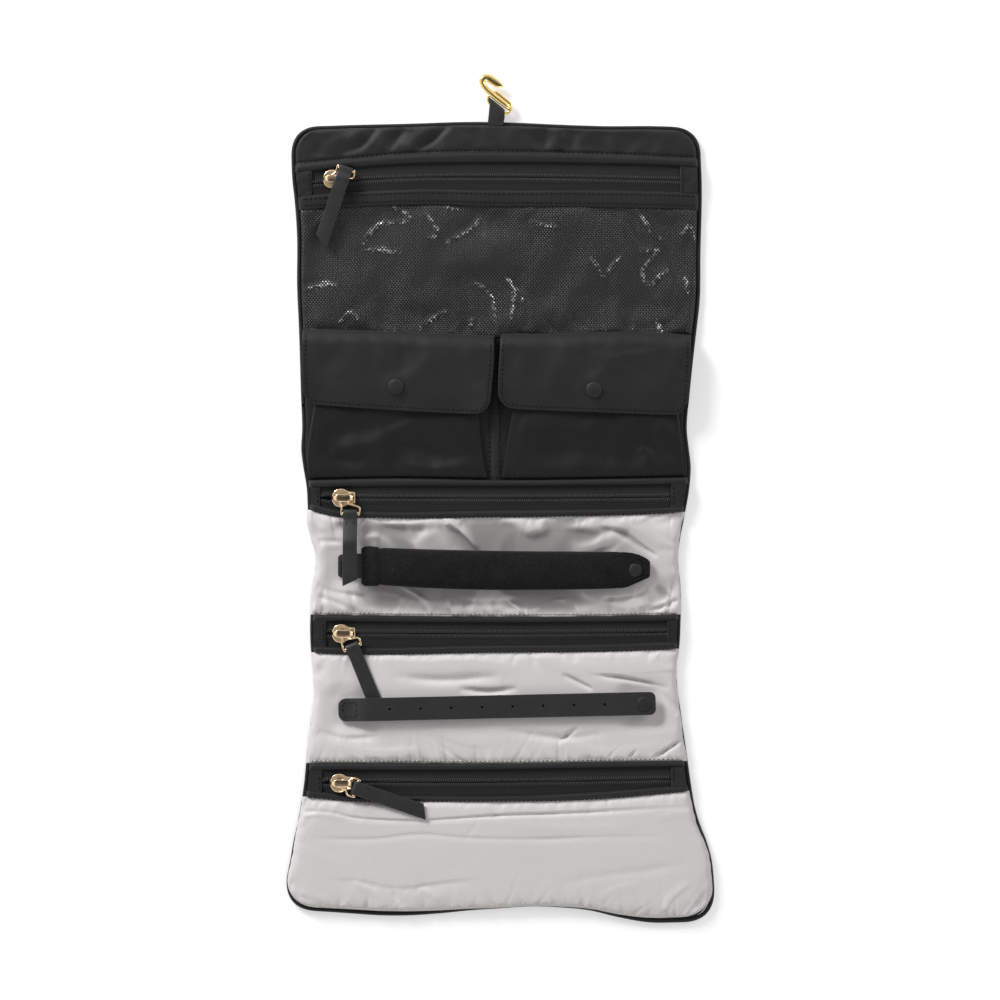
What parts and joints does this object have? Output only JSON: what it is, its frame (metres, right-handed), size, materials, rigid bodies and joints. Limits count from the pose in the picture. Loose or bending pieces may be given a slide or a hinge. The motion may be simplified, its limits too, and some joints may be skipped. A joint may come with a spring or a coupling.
{
  "type": "jewelry roll",
  "caption": "Soft folding jewelry roll, opened flat: nylon shell with zip pockets, mesh window, snap-flap pockets, padded ring bar, leather earring strap and a small cast hook.",
  "frame": {"origin": "middle of the back of the middle stretch, on the surface that the opened roll lies on", "axes": "+X to the right across the roll, +Y along it towards the hook, +Z out of the lining"},
  "size_m": [0.243, 0.483, 0.0173],
  "materials": {
    "nylon": "matte black twill nylon",
    "mesh": "black mesh under a glossy clear film",
    "zip_tape": "black woven tape with nylon coil",
    "lining": "light grey twill lining",
    "leather": "black fine-grained leather",
    "rose_metal": "polished pale rose gold plating",
    "gold_metal": "polished gold plating",
    "snap": "black snap caps, cloth covered on the flaps"
  },
  "bodies": {
    "middle": {"shell_middle": "nylon", "piping_middle_left": "nylon", "piping_middle_right": "nylon", "pocket_lining": "nylon", "pocket_left": "nylon", "pocket_right": "nylon", "flap_left_stud": "snap", "flap_right_stud": "snap", "zip_2": "zip_tape", "zip_2_upper_binding": "nylon", "zip_2_lower_binding": "nylon", "ring_panel": "lining", "ring_bar_tab": "leather", "ring_bar_stud": "snap"},
    "top": {"shell_top": "nylon", "piping_top": "nylon", "header_panel": "nylon", "header_welt": "nylon", "window_welt": "nylon", "window_mesh": "mesh", "zip_1": "zip_tape", "hook_loop": "leather"},
    "lower": {"shell_lower": "nylon", "piping_lower_left": "nylon", "piping_lower_right": "nylon", "zip_3": "zip_tape", "zip_3_upper_binding": "nylon", "zip_3_lower_binding": "nylon", "strap_panel": "lining", "strap_anchor": "leather", "strap_stud": "snap", "zip_4": "zip_tape", "zip_4_upper_binding": "nylon", "zip_4_lower_binding": "nylon", "lining_strip": "lining"},
    "end_flap": {"shell_flap": "nylon", "piping_flap": "nylon", "flap_panel": "lining"},
    "hook": {"hook": "gold_metal"},
    "runner_1": {"slider_1": "rose_metal"},
    "runner_2": {"slider_2": "rose_metal"},
    "runner_3": {"slider_3": "rose_metal"},
    "runner_4": {"slider_4": "rose_metal"},
    "pull_1": {"bail_1": "rose_metal", "pull_tab_1": "leather"},
    "pull_2": {"bail_2": "rose_metal", "pull_tab_2": "leather"},
    "pull_3": {"bail_3": "rose_metal", "pull_tab_3": "leather"},
    "pull_4": {"bail_4": "rose_metal", "pull_tab_4": "leather"},
    "pocket_flap_left": {"flap_left": "nylon", "flap_left_cap": "snap"},
    "pocket_flap_right": {"flap_right": "nylon", "flap_right_cap": "snap"},
    "ring_bar": {"ring_bar": "nylon", "ring_bar_end": "leather", "ring_bar_cap": "snap"},
    "earring_strap": {"earring_strap": "leather", "strap_cap": "snap"}
  },
  "joints": [
    {"name": "fold_top", "type": "hinge", "parent": "middle", "child": "top", "pos_m": [0, 0.08065, 0.0232], "axis": [-1, 0, 0], "range_deg": [-180, 0]},
    {"name": "fold_lower", "type": "hinge", "parent": "middle", "child": "lower", "pos_m": [0, -0.08065, 0.0165], "axis": [1, 0, 0], "range_deg": [-180, 0]},
    {"name": "fold_end_flap", "type": "hinge", "parent": "lower", "child": "end_flap", "pos_m": [0, -0.19905, 0.0085], "axis": [1, 0, 0], "range_deg": [-180, 0]},
    {"name": "zip_1_slide", "type": "slide", "parent": "top", "child": "runner_1", "axis": [1, 0, 0], "range_m": [0, 0.18]},
    {"name": "zip_2_slide", "type": "slide", "parent": "middle", "child": "runner_2", "axis": [1, 0, 0], "range_m": [0, 0.18]},
    {"name": "zip_3_slide", "type": "slide", "parent": "lower", "child": "runner_3", "axis": [1, 0, 0], "range_m": [0, 0.14]},
    {"name": "zip_4_slide", "type": "slide", "parent": "lower", "child": "runner_4", "axis": [1, 0, 0], "range_m": [0, 0.18]},
    {"name": "pull_1_swivel", "type": "hinge", "parent": "runner_1", "child": "pull_1", "pos_m": [-0.0934, 0.16875, 0.00865], "axis": [0, 0, 1], "range_deg": [-6, 40]},
    {"name": "pull_2_swivel", "type": "hinge", "parent": "runner_2", "child": "pull_2", "pos_m": [-0.0884, -0.0137, 0.00865], "axis": [0, 0, 1], "range_deg": [-25, 25]},
    {"name": "pull_3_swivel", "type": "hinge", "parent": "runner_3", "child": "pull_3", "pos_m": [-0.0884, -0.09125, 0.00865], "axis": [0, 0, 1], "range_deg": [-5, 5]},
    {"name": "pull_4_swivel", "type": "hinge", "parent": "runner_4", "child": "pull_4", "pos_m": [-0.09, -0.17675, 0.00865], "axis": [0, 0, 1], "range_deg": [-6, 44]},
    {"name": "flap_left_open", "type": "hinge", "parent": "middle", "child": "pocket_flap_left", "pos_m": [-0.055, 0.07935, 0.0045], "axis": [-1, 0, 0], "range_deg": [0, 110]},
    {"name": "flap_right_open", "type": "hinge", "parent": "middle", "child": "pocket_flap_right", "pos_m": [0.055, 0.07935, 0.0045], "axis": [-1, 0, 0], "range_deg": [0, 110]},
    {"name": "ring_bar_lift", "type": "hinge", "parent": "middle", "child": "ring_bar", "pos_m": [-0.07615, -0.05325, 0.0067], "axis": [0, -1, 0], "range_deg": [0, 60]},
    {"name": "earring_strap_lift", "type": "hinge", "parent": "lower", "child": "earring_strap", "pos_m": [-0.08215, -0.13485, 0.0106], "axis": [0.0227, -0.9997, 0], "range_deg": [0, 120]},
    {"name": "hook_swing", "type": "hinge", "parent": "top", "child": "hook", "pos_m": [-0.00195, 0.20954, 0.0032], "axis": [0.7771, -0.6293, 0], "range_deg": [0, 100]}
  ]
}
